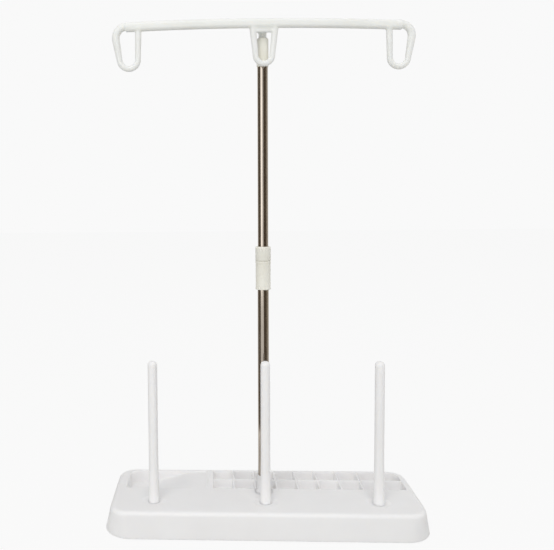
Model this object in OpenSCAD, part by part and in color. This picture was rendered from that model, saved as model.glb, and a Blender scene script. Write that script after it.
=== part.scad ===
// Free-standing thread rack: a low storage base, three upright spool pins,
// a two-section telescopic steel pole and a guide arm with three hanging eyes.
// Millimetres, +Z up, the user stands on the -Y side, origin on the table
// below the middle of the base.

/* [Base] */
// Width of the base at the table
base_w = 316; // [290:1:360]
// Depth of the base, front to back
base_d = 104; // [102:1:130]
// Height of the base's top face above the table
base_h = 27.5; // [25:0.5:40]
// Radius of the base's four upright corners at the table
corner_r = 27; // [22:0.5:34]
// Radius of those corners where the top edge starts
corner_top_r = 18.5; // [15:0.5:24]
// Lean of the base's two ends, in degrees
end_lean = 13.5; // [2:0.5:16]
// Lean of the base's front and rear walls, in degrees
wall_lean = 2; // [0.5:0.5:6]
// Rounding of the base's top edge
edge_r = 3.9; // [2.6:0.1:4.5]
// Wall thickness of the base moulding
shell_t = 2.2; // [1.6:0.1:2.5]
// Gap between the base's lower rim and the table
rim_gap = 1.4; // [0.8:0.1:2.5]

/* [Bobbin cells] */
// Number of cells side by side
cell_cols = 9; // [6:1:9]
// Number of cell rows, front to back
cell_rows = 2; // [1:1:2]
// Inside width of one cell
cell_size = 20.4; // [18:0.1:20.6]
// Thickness of the ribs between cells
cell_rib = 1.6; // [1.2:0.1:2]
// Depth of a cell below the top face
cell_depth = 11; // [8:0.5:16]
// From the base's right side to the cells
cell_side = 12.7; // [12.5:0.1:18]
// From the base's rear side to the cells
cell_back = 6.2; // [6.2:0.1:8]

/* [Tool tray] */
// From the base's left side to the tray
tray_side = 17; // [14:0.5:30]
// Depth of the tray at its left end
tray_depth = 14; // [8:0.5:18]
// Depth of the tray where its floor has come up
tray_shallow = 1.5; // [1:0.1:4]
// Length of the tray's deep part
tray_deep_l = 20; // [8:1:30]
// Length of the sloping floor
tray_ramp_l = 46; // [20:1:55]
// Width of the land between the tray and the cells
tray_land = 6; // [3:0.5:12]

/* [Spool pins] */
// Distance between neighbouring spool pins
pin_pitch = 110; // [90:1:125]
// From the base's front side to the row of pins
pin_front = 26.6; // [20:0.2:27]
// Height of a spool pin above the top face
pin_h = 140; // [60:1:200]
// Diameter of a spool pin's straight part
pin_d = 9.2; // [6:0.1:10]
// Diameter of a spool pin at its foot
pin_foot_d = 10.4; // [10:0.1:12]
// Length of the taper above the foot
pin_taper_l = 46; // [10:1:50]
// Diameter of the tenon that holds a pin in the base
pin_tenon_d = 6.6; // [5:0.1:8]
// Length of that tenon
pin_tenon_l = 13; // [8:0.5:14]
// Diameter of the shallow dish round a pin's foot
dish_d = 23; // [16:0.5:28]
// Depth of that dish
dish_depth = 0.9; // [0.4:0.1:1.4]

/* [Pole] */
// From the base's front side to the pole
pole_front = 50; // [48:0.5:51]
// Outside diameter of the lower tube
lower_d = 11.2; // [10.6:0.1:12]
// Wall thickness of both tubes
tube_t = 0.35; // [0.3:0.01:0.36]
// Height of the lower tube's top end above the table
lower_top = 262; // [242:1:262]
// Height of the upper tube's top end above the table, pulled out
upper_top = 453.5; // [453:0.5:520]
// Length of the upper tube that stays inside the lower one, pulled out
tube_overlap = 40; // [25:1:58]
// How far the upper tube slides down before it meets the plug
slide_travel = 172; // [50:1:172]
// Height of the pole's boss above the top face
boss_h = 17.5; // [10:0.5:30]
// Wall thickness of that boss at its top
boss_t = 0.75; // [0.6:0.05:2]

/* [Collar] */
// Outside diameter of the collar
collar_d = 15.2; // [15:0.1:20]
// Length of the fixed sleeve, the lower part of the collar
sleeve_l = 28.5; // [20:0.5:40]
// Length of the lock nut, the upper part of the collar
nut_l = 14; // [12:0.5:20]
// Groove between the sleeve and the nut
collar_groove = 0.4; // [0.2:0.1:1]

/* [Guide arm] */
// From the pole cap's top up to the arm's middle line
arm_rise = 11.9; // [11:0.1:24]
// From the pole to the middle of an outer eye
arm_half = 131.4; // [100:0.1:145]
// How much lower the arm's ends are than its middle
arm_sag = 2.8; // [0:0.1:5]
// How far the arm is turned on the pole, in degrees, left end to the front
arm_turn = 3; // [0:0.5:90]
// Height of the bar
bar_h = 8.8; // [7.4:0.1:12]
// Front to back thickness of the bar and the eyes
bar_t = 7.6; // [7.6:0.1:9]
// Thickness of the wire round an eye's bottom
eye_t = 5.5; // [4.5:0.1:6.5]
// Thickness of the wire where the bar bends into an outer eye
eye_top_t = 7.4; // [6.6:0.1:7.5]
// From the bar's middle line down to an eye's lowest point
eye_drop = 42.2; // [38:0.1:55]
// Radius of an outer eye's round bottom, on the wire's middle line
eye_bottom_r = 8.8; // [7:0.1:9.2]
// How far an outer eye's bottom stands nearer to the pole than its top
eye_shift = 1.3; // [0:0.1:2.5]
// Radius of the bar's bend into an outer eye
eye_bend_r = 10.9; // [9.5:0.1:12]
// Height of the web above the middle eye's opening
web_h = 4.2; // [3.5:0.1:8]
// Diameter of the stem that turns in the pole's cap
stem_d = 7.6; // [4:0.1:8]
// Length of the stem inside the cap
stem_l = 16; // [10:0.5:18]
// Length of the pole cap above the tube
cap_l = 27.8; // [20:0.1:30]
// Diameter of the pole cap above the tube
cap_d = 11.4; // [11:0.1:12]

/* [Fasteners and feet] */
// Thickness of the bottom cover
cover_t = 2; // [1.6:0.1:2.4]
// Diameter of a rubber foot
foot_d = 14; // [10:0.5:16]
// Shank diameter of the cover screws and the pin screws
screw_d = 3; // [2.5:0.1:3.5]
// Shank diameter of the screw that holds the pole
pole_screw_d = 4; // [3:0.1:5]

/* [Fits] */
// Radial clearance of every running or push fit
fit = 0.05; // [0.03:0.01:0.08]
// Clearance round the bottom cover
cover_gap = 0.3; // [0.2:0.05:0.5]

/* [Hidden] */
$fn = 64;
eps = 0.01;

white = "#f1f1ee";
steel = "#9a958e";
dark_rubber = "#3c3c3e";
zinc = "#b9bcc0";

// Base
cell_pitch = cell_size + cell_rib;
cells_right = base_w / 2 - cell_side;
cells_left = cells_right - cell_cols * cell_pitch + cell_rib;
cells_rear = base_d / 2 - cell_back;
cells_front = cells_rear - cell_rows * cell_pitch + cell_rib;
tray_left = -base_w / 2 + tray_side;
tray_right = cells_left - tray_land;
pocket_wall = 1.6;
pocket_edge = 1.4;
rise = base_h - edge_r - rim_gap;
flat_w = base_w - 2 * rise * tan(end_lean) - 2 * edge_r / cos(end_lean);
flat_d = base_d - 2 * rise * tan(wall_lean) - 2 * edge_r / cos(wall_lean);
flat_r = corner_top_r - edge_r;
cover_z = rim_gap + 0.4;
cover_top = cover_z + cover_t;
pin_y = -base_d / 2 + pin_front;
pole_y = -base_d / 2 + pole_front;
pin_seat_z = base_h - dish_depth;
pin_tenon_z = pin_seat_z - pin_tenon_l;
post_floor = 3;
head_h = 2.2;
head_d = 2 * screw_d;
post_d = 7.4;
screw_l = 8;
cover_screw_xy = [[-140, -16], [-55, -36], [55, -36], [140, -16], [-68, 34], [76, 36]];
foot_x = base_w / 2 - corner_r + 3;
foot_y = base_d / 2 - corner_r + 14;
foot_recess = 1;
foot_h = cover_z + foot_recess;

// Pole
upper_d = lower_d - 2 * tube_t - 2 * fit;
upper_bore = upper_d - 2 * tube_t;
boss_top = base_h + boss_h;
boss_d = lower_d + 2 * fit + 2 * boss_t;
boss_flare = 2.4;
tube_seat_z = 10;
upper_bottom = lower_top - tube_overlap;
bush_rim = 3;
bush_tenon = 12;
bush_bore = 6;
plug_top = upper_bottom - bush_rim - slide_travel - 0.5;
pole_screw_grip = 12;
sleeve_bottom = lower_top - sleeve_l + 1;
sleeve_top = sleeve_bottom + sleeve_l;
nut_bottom = sleeve_top + collar_groove;
nut_top = nut_bottom + nut_l;
nose_top = nut_bottom + 7.5;
nose_d = 13;
collet_t = 0.9;
collet_taper = 0.3;
collet_top = nut_top - 2;
collet_slot = 1.2;
tube_clear = 0.1;

// Guide arm
bar_gap = 1.2;
arm_front = cap_d / 2 + bar_gap + bar_t / 2;
cap_tenon = 18;
cap_top = upper_top + cap_l;
arm_z = cap_top + arm_rise;
stem_bottom = cap_top - stem_l;
ear_d = 11;
ear_drop = 6.5;
ear_top = arm_z + bar_h / 2 - 1;
end_z = arm_z - arm_sag;
arch_r = (arm_half * arm_half + arm_sag * arm_sag) / (2 * max(arm_sag, 0.01));
leg_top_t = 6.2;
mid_leg_x = 10.9;
mid_bottom_r = 8;
mid_drop = eye_drop - 1.2;
bar_round = 2.4;
web_t = 4.6;
tuck = 0.12;
tuck_l = 0.5;

// One level of the base, seen from above
module level(w, d, r, z) {
    translate([0, 0, z])
        linear_extrude(0.01)
            offset(r = r, $fn = 72)
                square([w - 2 * r, d - 2 * r], center = true);
}

// Block with leaning walls, corners that tighten upwards and a round top edge
module moulded_block(w, d, h, r, r_top, edge) {
    w_top = w - 2 * (h - edge) * tan(end_lean) - 2 * edge / cos(end_lean);
    d_top = d - 2 * (h - edge) * tan(wall_lean) - 2 * edge / cos(wall_lean);
    hull() {
        level(w, d, r, 0);
        for (a = [0 : 15 : 90])
            level(w_top + 2 * edge * cos(a), d_top + 2 * edge * cos(a),
                r_top - edge + edge * cos(a), h - edge + edge * sin(a) - 0.01);
    }
}

// Upright slab with round corners
module slab(w, d, h, r) {
    translate([-w / 2 + r, -d / 2, 0])
        cube([w - 2 * r, d, h]);
    translate([-w / 2, -d / 2 + r, 0])
        cube([w, d - 2 * r, h]);
    for (x = [-1, 1], y = [-1, 1])
        translate([x * (w / 2 - r), y * (d / 2 - r), 0])
            cylinder(r = r, h = h, $fn = 96);
}

// Everything that a pocket may take up, seen from above
module pocket_limit(grow) {
    translate([0, 0, -1])
        slab(flat_w - 2 * pocket_edge + 2 * grow, flat_d - 2 * pocket_edge + 2 * grow,
            base_h + 3, flat_r - pocket_edge + grow);
}

// The square cells, as the space that they leave
module cells_space() {
    for (i = [0 : cell_cols - 1], j = [0 : cell_rows - 1])
        translate([cells_left + i * cell_pitch, cells_front + j * cell_pitch, base_h - cell_depth])
            cube([cell_size, cell_size, cell_depth + 1]);
}

// The tray's length and height, with its sloping floor, grown by its wall
module tray_side_view(grow) {
    deep = base_h - tray_depth - grow;
    shallow = base_h - tray_shallow - grow;
    polygon([[tray_left - grow, base_h + 1], [tray_left - grow, deep],
        [tray_left + tray_deep_l, deep], [tray_left + tray_deep_l + tray_ramp_l, shallow],
        [tray_right + grow, shallow], [tray_right + grow, base_h + 1]]);
}

module tray_space(grow) {
    translate([0, cells_rear + grow, 0])
        rotate([90, 0, 0])
            linear_extrude(cells_rear - cells_front + 2 * grow)
                tray_side_view(grow);
}

// Walls and floors of the pockets, below the top face
module pocket_walls() {
    translate([cells_left - pocket_wall, cells_front - pocket_wall, base_h - cell_depth - pocket_wall])
        cube([cells_right - cells_left + 2 * pocket_wall,
            cells_rear - cells_front + 2 * pocket_wall, cell_depth + pocket_wall - shell_t / 2]);
    intersection() {
        tray_space(pocket_wall);
        translate([-base_w, -base_d, 0])
            cube([2 * base_w, 2 * base_d, base_h - shell_t / 2]);
    }
}

// Round post below the top face, with its hole made by the caller
module post(x, y, d, z) {
    translate([x, y, z])
        cylinder(d = d, h = base_h - shell_t / 2 - z);
}

module base_body() {
    difference() {
        translate([0, 0, rim_gap])
            moulded_block(base_w, base_d, base_h - rim_gap, corner_r, corner_top_r, edge_r);
        translate([0, 0, rim_gap - eps])
            moulded_block(base_w - 2 * shell_t, base_d - 2 * shell_t, base_h - rim_gap - shell_t,
                corner_r - shell_t, corner_top_r - shell_t, edge_r - shell_t / 2);
    }
    intersection() {
        pocket_walls();
        pocket_limit(pocket_wall);
    }
    post(0, pole_y, boss_d + 3, tube_seat_z - post_floor);
    for (i = [-1 : 1])
        post(i * pin_pitch, pin_y, 2 * pin_tenon_d, pin_tenon_z - post_floor);
    for (p = cover_screw_xy)
        post(p[0], p[1], post_d, cover_top);
    translate([0, pole_y, base_h - shell_t])
        rotate_extrude()
            polygon([[0, 0], [boss_d / 2 + boss_flare, 0], [boss_d / 2 + boss_flare, shell_t],
                [boss_d / 2 + 0.4 * boss_flare, shell_t + 0.4 * boss_flare],
                [boss_d / 2 + 0.1 * boss_flare, shell_t + boss_flare],
                [boss_d / 2, shell_t + boss_h - 0.5], [boss_d / 2 - 0.4, shell_t + boss_h],
                [0, shell_t + boss_h]]);
}

module base_shell() {
    color(white)
        difference() {
            base_body();
            intersection() {
                union() {
                    cells_space();
                    tray_space(0);
                }
                pocket_limit(0);
            }
            translate([0, pole_y, tube_seat_z])
                cylinder(d = lower_d + 2 * fit, h = base_h + boss_h);
            translate([0, pole_y, 0])
                cylinder(d = pole_screw_d + 2 * fit, h = base_h);
            for (i = [-1 : 1])
                translate([i * pin_pitch, pin_y, 0])
                    pin_hole();
            for (p = cover_screw_xy)
                translate([p[0], p[1], 0])
                    cylinder(d = screw_d + 2 * fit, h = cover_z + screw_l + 2);
        }
}

// What a pin, its dish and its screw take out of the base
module pin_hole() {
    cylinder(d = screw_d + 2 * fit, h = base_h);
    translate([0, 0, pin_tenon_z])
        cylinder(d = pin_tenon_d + 2 * fit, h = base_h);
    translate([0, 0, pin_seat_z])
        cylinder(d1 = dish_d - 5, d2 = dish_d, h = dish_depth + eps);
}

module base_cover() {
    lean_h = cover_top - rim_gap;
    w = base_w - 2 * shell_t - 2 * lean_h * tan(end_lean) - 2 * cover_gap;
    d = base_d - 2 * shell_t - 2 * lean_h * tan(wall_lean) - 2 * cover_gap;
    color(white)
        difference() {
            translate([0, 0, cover_z])
                slab(w, d, cover_t, corner_r - shell_t - cover_gap);
            for (x = [-1, 1], y = [-1, 1])
                translate([x * foot_x, y * foot_y, 0])
                    cylinder(d = foot_d + 2 * fit, h = foot_h);
            for (p = cover_screw_xy)
                translate([p[0], p[1], 0]) {
                    cylinder(d = screw_d + 2 * fit, h = base_h);
                    cylinder(d = head_d + 0.4, h = cover_z + 1);
                }
        }
}

module foot(x, y) {
    round_r = 0.8;
    color(dark_rubber)
        translate([x * foot_x, y * foot_y, 0])
            rotate_extrude() {
                translate([0, round_r])
                    square([foot_d / 2, foot_h - round_r]);
                square([foot_d / 2 - round_r, foot_h]);
                translate([foot_d / 2 - round_r, round_r])
                    circle(round_r);
            }
}

// Pan head screw standing on its head, with a cross recess
module screw(shank_d, length, head_width) {
    color(zinc)
        difference() {
            union() {
                cylinder(d1 = head_width - 1, d2 = head_width, h = 0.6);
                translate([0, 0, 0.6])
                    cylinder(d = head_width, h = head_h - 0.6);
                cylinder(d = shank_d, h = head_h + length);
            }
            for (a = [0, 90])
                rotate([0, 0, a])
                    cube([0.55 * head_width, 0.7, 2], center = true);
        }
}

module cover_screws() {
    for (p = cover_screw_xy)
        translate([p[0], p[1], cover_z + 1 - head_h])
            screw(screw_d, screw_l, head_d);
}

module pin_screws() {
    for (i = [-1 : 1])
        translate([i * pin_pitch, pin_y, pin_tenon_z - post_floor - head_h])
            screw(screw_d, screw_l, head_d);
}

module spool_pin(i) {
    tip_r = pin_d / 2 - 0.6;
    tip_h = pin_h + dish_depth;
    color(white)
        translate([i * pin_pitch, pin_y, pin_seat_z])
            difference() {
                union() {
                    translate([0, 0, -pin_tenon_l + fit])
                        cylinder(d = pin_tenon_d, h = pin_tenon_l + 1);
                    cylinder(d1 = pin_foot_d, d2 = pin_d, h = pin_taper_l);
                    cylinder(d = pin_d, h = tip_h - tip_r);
                    translate([0, 0, tip_h - tip_r])
                        rotate_extrude()
                            intersection() {
                                union() {
                                    translate([0.6, 0])
                                        circle(tip_r);
                                    square([2 * 0.6, 2 * tip_r], center = true);
                                }
                                square([pin_d, pin_d]);
                            }
                }
                translate([0, 0, -pin_tenon_l - 1])
                    cylinder(d = screw_d + 2 * fit, h = screw_l - post_floor + 2);
            }
}

// Round tube with an outside diameter, a bore and two end heights
module tube(outer_d, bore_d, z0, z1) {
    translate([0, pole_y, z0])
        difference() {
            cylinder(d = outer_d, h = z1 - z0);
            translate([0, 0, -1])
                cylinder(d = bore_d, h = z1 - z0 + 2);
        }
}

module lower_tube() {
    color(steel)
        tube(lower_d, lower_d - 2 * tube_t, tube_seat_z, lower_top);
}

module tube_plug() {
    color(white)
        tube(lower_d - 2 * tube_t - 2 * fit, pole_screw_d + 2 * fit, tube_seat_z, plug_top);
}

module pole_screw() {
    translate([0, pole_y, tube_seat_z - post_floor - head_h])
        screw(pole_screw_d, post_floor + pole_screw_grip, 2 * pole_screw_d);
}

module collar_sleeve() {
    lip = 0.5;
    color(white)
        translate([0, pole_y, 0])
            difference() {
                rotate_extrude()
                    polygon([[0, sleeve_bottom], [collar_d / 2 - lip, sleeve_bottom],
                        [collar_d / 2, sleeve_bottom + lip], [collar_d / 2, sleeve_bottom + 2],
                        [collar_d / 2 - 0.25, sleeve_bottom + 2.4],
                        [collar_d / 2 - 0.25, sleeve_top - 2.4],
                        [collar_d / 2, sleeve_top - 2], [collar_d / 2, sleeve_top - 0.3],
                        [collar_d / 2 - 0.3, sleeve_top], [nose_d / 2, sleeve_top],
                        [nose_d / 2, nose_top], [0, nose_top]]);
                translate([0, 0, sleeve_bottom - 1])
                    cylinder(d = lower_d + 2 * fit, h = lower_top - sleeve_bottom + 1);
                cylinder(d = upper_d + 2 * fit + 2 * tube_clear, h = nose_top + 1);
            }
}

// Split ring that the nut closes on the upper tube
module grip_collet() {
    collet_d = upper_d + 2 * fit + 2 * collet_t;
    collet_h = collet_top - nose_top;
    color(white)
        translate([0, pole_y, nose_top])
            difference() {
                cylinder(d1 = collet_d + collet_taper, d2 = collet_d - collet_taper, h = collet_h);
                translate([0, 0, -1])
                    cylinder(d = upper_d + 2 * fit, h = collet_h + 2);
                translate([0, -collet_slot / 2, -1])
                    cube([collar_d, collet_slot, collet_h + 2]);
            }
}

module lock_nut() {
    lip = 0.5;
    color(white)
        translate([0, pole_y, 0])
            difference() {
                rotate_extrude()
                    polygon([[0, nut_bottom], [collar_d / 2 - 0.3, nut_bottom],
                        [collar_d / 2, nut_bottom + 0.3], [collar_d / 2, nut_top - 2],
                        [collar_d / 2 - lip, nut_top], [0, nut_top]]);
                translate([0, 0, nut_bottom - 1])
                    cylinder(d = nose_d + 2 * fit, h = collet_top - nut_bottom + 1 + fit);
                cylinder(d = upper_d + 2 * fit + 2 * tube_clear, h = nut_top + 1);
            }
}

module upper_tube() {
    color(steel)
        tube(upper_d, upper_bore, upper_bottom, upper_top);
}

module slide_bush() {
    color(white) {
        tube(upper_d, bush_bore, upper_bottom - bush_rim, upper_bottom);
        tube(upper_bore - 2 * fit, bush_bore, upper_bottom - eps, upper_bottom + bush_tenon);
    }
}

module pole_cap() {
    top_r = 1.6;
    color(white)
        translate([0, pole_y, 0])
            difference() {
                union() {
                    translate([0, 0, upper_top - cap_tenon])
                        cylinder(d = upper_bore - 2 * fit, h = cap_tenon + 1);
                    translate([0, 0, upper_top])
                        rotate_extrude() {
                            square([cap_d / 2, cap_l - top_r]);
                            square([cap_d / 2 - top_r, cap_l]);
                            translate([cap_d / 2 - top_r, cap_l - top_r])
                                circle(top_r);
                        }
                }
                translate([0, 0, stem_bottom - fit])
                    cylinder(d = stem_d + 2 * fit, h = stem_l + 2);
            }
}

// Section with flat sides and round corners, its height along the first axis
module round_section(h, t, r) {
    square([h, t - 2 * r], center = true);
    square([h - 2 * r, t], center = true);
    for (u = [-1, 1], v = [-1, 1])
        translate([u * (h / 2 - r), v * (t / 2 - r)])
            circle(r);
}

// Straight tapering stretch of wire in the arm's upright plane, from a down to
// b, tucked into what it meets at both ends
module leg(a, b, d_a, d_b) {
    way = (a - b) / norm(a - b);
    start = b - tuck_l * way;
    translate([start[0], 0, start[1]])
        rotate([0, atan2(way[0], way[1]), 0])
            cylinder(d1 = d_b - 2 * tuck, d2 = d_a - 2 * tuck, h = norm(a - b) + 2 * tuck_l);
}

// Bent stretch of wire in the arm's upright plane, between two angles
module bend(centre, r, d, a0, a1) {
    translate([centre[0], 0, centre[1]])
        rotate([90, 0, 0])
            rotate([0, 0, a0])
                rotate_extrude(angle = a1 - a0, $fn = 96)
                    translate([r, 0])
                        circle(d = d);
}

// The bar, a shallow arch with round edges
module bar() {
    half_angle = asin((arm_half + 1) / arch_r);
    translate([0, 0, arm_z - arch_r])
        rotate([90, 0, 0])
            rotate([0, 0, 90 - half_angle])
                rotate_extrude(angle = 2 * half_angle, $fn = 1800)
                    translate([arch_r, 0])
                        round_section(bar_h, bar_t, bar_round);
}

// The outer eye on the right: the bar bends down, closes in, turns round
// the bottom and comes up again under the bar
module outer_eye() {
    top = [arm_half, end_z + (bar_h - eye_top_t) / 2 - eye_bend_r];
    bottom = [arm_half - eye_shift, end_z - eye_drop + eye_t / 2 + eye_bottom_r];
    up = top - bottom;
    lean = asin((eye_bend_r - eye_bottom_r) / norm(up)) + atan2(up[0], up[1]);
    flank = [cos(lean), -sin(lean)];
    start = [arm_half - eye_bend_r, end_z];
    way = start - bottom;
    inner_lean = acos(eye_bottom_r / norm(way)) - atan2(way[1], -way[0]);
    inner = [-cos(inner_lean), -sin(inner_lean)];
    bend(top, eye_bend_r, eye_top_t, -lean, 100);
    leg(top + eye_bend_r * flank, bottom + eye_bottom_r * flank, eye_top_t, eye_t);
    bend(bottom, eye_bottom_r, eye_t, 180 + inner_lean, 360 - lean);
    leg(start, bottom + eye_bottom_r * inner, leg_top_t, eye_t);
}

// The middle eye: two legs that close in, a round bottom and a web on top
module middle_eye() {
    web_z = arm_z - bar_h / 2 - web_h;
    bottom = [0, arm_z - mid_drop + eye_t / 2 + mid_bottom_r];
    top_z = arm_z - bar_h / 2 + 1;
    lean = asin((mid_leg_x - mid_bottom_r) / (top_z - bottom[1]));
    bend(bottom, mid_bottom_r, eye_t, 180 + lean, 360 - lean);
    for (s = [-1, 1])
        leg([s * mid_leg_x, top_z],
            bottom + mid_bottom_r * [s * cos(lean), -sin(lean)], leg_top_t, eye_t);
    translate([-mid_leg_x, -web_t / 2, web_z])
        cube([2 * mid_leg_x, web_t, web_h + 1]);
}

module guide_arm() {
    color(white)
        translate([0, pole_y, 0])
            rotate([0, 0, arm_turn]) {
                translate([0, -arm_front, 0]) {
                    bar();
                    outer_eye();
                    mirror([1, 0, 0])
                        outer_eye();
                    middle_eye();
                }
                translate([0, 0, stem_bottom])
                    cylinder(d = stem_d, h = arm_z - stem_bottom);
                translate([0, 0, arm_z - ear_drop])
                    cylinder(d = ear_d, h = ear_top - arm_z + ear_drop);
                translate([-ear_d / 2, -arm_front, arm_z - ear_drop])
                    cube([ear_d, arm_front, ear_top - arm_z + ear_drop]);
            }
}

base_shell();
base_cover();
foot(-1, -1);  // foot_front_left
foot(1, -1);  // foot_front_right
foot(-1, 1);  // foot_rear_left
foot(1, 1);  // foot_rear_right
cover_screws();
pin_screws();
spool_pin(-1);  // spool_pin_left
spool_pin(0);  // spool_pin_middle
spool_pin(1);  // spool_pin_right
lower_tube();
tube_plug();
pole_screw();
collar_sleeve();
grip_collet();
lock_nut();
upper_tube();
slide_bush();
pole_cap();
guide_arm();
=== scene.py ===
# Free-standing thread rack: a moulded base with bobbin cells and a tool tray, three spool pins,
# a telescopic steel pole with a clamp collar, and a guide arm with three hanging eyes.
# Lengths in the dictionaries are millimetres and meshes are made in metres.
import bmesh
import bpy
import math
import numpy as np
from mathutils import Matrix, Vector
from mathutils.geometry import tessellate_polygon


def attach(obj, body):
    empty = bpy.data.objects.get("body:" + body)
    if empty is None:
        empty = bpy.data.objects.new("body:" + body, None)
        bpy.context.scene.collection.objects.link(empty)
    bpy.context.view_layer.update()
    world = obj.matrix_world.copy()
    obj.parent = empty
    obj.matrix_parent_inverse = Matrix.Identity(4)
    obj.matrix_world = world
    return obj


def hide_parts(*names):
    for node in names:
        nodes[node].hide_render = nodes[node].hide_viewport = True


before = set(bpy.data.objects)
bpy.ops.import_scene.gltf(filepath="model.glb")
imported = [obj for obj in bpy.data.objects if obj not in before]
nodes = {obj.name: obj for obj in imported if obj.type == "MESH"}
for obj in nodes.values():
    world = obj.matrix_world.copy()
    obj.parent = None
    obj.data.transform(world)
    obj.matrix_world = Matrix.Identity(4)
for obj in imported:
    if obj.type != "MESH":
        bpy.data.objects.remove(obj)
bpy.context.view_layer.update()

scene = bpy.context.scene
print("frame loaded:", len(nodes), "CAD nodes")


def linear(hexColor):
    # sRGB hex to linear colour with full alpha
    parts = [int(hexColor[i:i + 2], 16) / 255 for i in (1, 3, 5)]
    return [p / 12.92 if p <= 0.04045 else ((p + 0.055) / 1.055) ** 2.4 for p in parts] + [1.0]


def addNode(tree, kind, settings=None, links=None):
    # A setting is a property of the node or else the value of one of its inputs
    node = tree.nodes.new(kind)
    for key, value in (settings or {}).items():
        if isinstance(key, str) and hasattr(node, key):
            setattr(node, key, value)
        else:
            node.inputs[key].default_value = value
    for key, socket in (links or {}).items():
        tree.links.new(socket, node.inputs[key])
    return node


def newMaterial(name):
    # A material with an empty node tree
    material = bpy.data.materials.new(name)
    material.use_nodes = True
    material.node_tree.nodes.clear()
    return material, material.node_tree


# Camera, fitted to the photograph

camera = {"place": (-51.324, -669.620, 331.919), "yaw": -2.7109, "pitch": 3.5548, "roll": 0.6020,
          "focalPx": 669.48, "centre": (179.727, 233.985), "size": (554, 550),
          "sensor": 36.0, "nearest": 0.01}


def makeCamera(c):
    # Yaw turns it to the right, pitch downwards, and the optical centre may lie off the middle
    yaw, pitch, roll = (math.radians(c[k]) for k in ("yaw", "pitch", "roll"))
    ahead = Vector((math.sin(yaw) * math.cos(pitch), math.cos(yaw) * math.cos(pitch), -math.sin(pitch)))
    right = Vector((math.cos(yaw), -math.sin(yaw), 0))
    up = right.cross(ahead)
    x = right * math.cos(roll) - up * math.sin(roll)
    y = right * math.sin(roll) + up * math.cos(roll)
    data = bpy.data.cameras.new("camera")
    data.sensor_width = c["sensor"]
    data.lens = c["focalPx"] * c["sensor"] / c["size"][0]
    data.shift_x = (c["size"][0] / 2 - c["centre"][0]) / c["size"][0]
    data.shift_y = (c["centre"][1] - c["size"][1] / 2) / c["size"][0]
    data.clip_start = c["nearest"]
    obj = bpy.data.objects.new("camera", data)
    scene.collection.objects.link(obj)
    place = Vector(c["place"]) / 1000
    obj.matrix_world = Matrix(((x[0], y[0], -ahead[0], place[0]), (x[1], y[1], -ahead[1], place[1]),
                               (x[2], y[2], -ahead[2], place[2]), (0, 0, 0, 1)))
    scene.camera = obj


makeCamera(camera)
scene.view_settings.view_transform = "Standard"


# Materials

def mottled(tree, place, size, low, high):
    # Soft noise of the given size in millimetres, as a colour between two values
    noise = addNode(tree, "ShaderNodeTexNoise", {"Scale": 1000 / size, "Detail": 3.0}, {"Vector": place})
    ramp = addNode(tree, "ShaderNodeValToRGB", {}, {"Fac": noise.outputs["Fac"]})
    for point, position, colour in zip(ramp.color_ramp.elements, (0.3, 0.7), (low, high)):
        point.position = position
        point.color = colour
    return ramp.outputs["Color"]


def grey(value):
    return (value, value, value, 1.0)


def mouldedPlastic(name, finish):
    # Plastic moulded in a steel tool. The colour drifts a little with the flow of the melt, the
    # tool's polish leaves a soft orange peel and uneven gloss, and thin walls let some light
    # through. The cover comes from a blasted tool, which leaves it a fine grain instead.
    material, tree = newMaterial(name)
    place = addNode(tree, "ShaderNodeTexCoord").outputs["Object"]
    tint = mottled(tree, place, finish["flow"], linear(finish["shade"]), linear(finish["colour"]))
    rough = mottled(tree, place, finish["patch"], grey(finish["rough"][0]), grey(finish["rough"][1]))
    peel = addNode(tree, "ShaderNodeTexNoise", {"Scale": 1000 / finish["grain"], "Detail": 2.0},
                   {"Vector": place})
    relief = addNode(tree, "ShaderNodeBump",
                     {"Strength": finish["relief"], "Distance": finish["height"] / 1000},
                     {"Height": peel.outputs["Fac"]})
    shader = addNode(tree, "ShaderNodeBsdfPrincipled",
                     {"IOR": finish["ior"], "Specular IOR Level": plastic["specular"],
                      "Subsurface Weight": finish["through"], "Subsurface Scale": finish["glow"] / 1000,
                      "Subsurface Radius": plastic["glowTint"]},
                     {"Base Color": tint, "Roughness": rough, "Normal": relief.outputs["Normal"]})
    addNode(tree, "ShaderNodeOutputMaterial", {}, {"Surface": shader.outputs[0]})
    return material


def linedSteel(name, finish):
    # Steel with fine lines round it. The stainless tube was drawn and then polished as it turned:
    # a mirror with hair lines, faintly warm, a little duller where the belt passed less. The screws
    # were turned and zinc plated, which leaves them grey and soft in their shine. The lines are
    # drawn ten times as coarse as the real ones, which would not show.
    material, tree = newMaterial(name)
    place = addNode(tree, "ShaderNodeTexCoord").outputs["Object"]
    stretch = (1000 / finish["run"], 1000 / finish["run"], 1000 / finish["line"])
    rings = addNode(tree, "ShaderNodeMapping", {"Scale": stretch}, {"Vector": place})
    lines = addNode(tree, "ShaderNodeTexNoise", {"Scale": 1.0, "Detail": 2.0},
                    {"Vector": rings.outputs["Vector"]})
    relief = addNode(tree, "ShaderNodeBump",
                     {"Strength": finish["relief"], "Distance": finish["height"] / 1000},
                     {"Height": lines.outputs["Fac"]})
    rough = mottled(tree, place, finish["patch"], grey(finish["rough"][0]), grey(finish["rough"][1]))
    tint = mottled(tree, place, finish["stain"], linear(finish["shade"]), linear(finish["colour"]))
    shader = addNode(tree, "ShaderNodeBsdfPrincipled", {"Metallic": 1.0},
                     {"Base Color": tint, "Roughness": rough, "Normal": relief.outputs["Normal"]})
    addNode(tree, "ShaderNodeOutputMaterial", {}, {"Surface": shader.outputs[0]})
    return material


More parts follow.
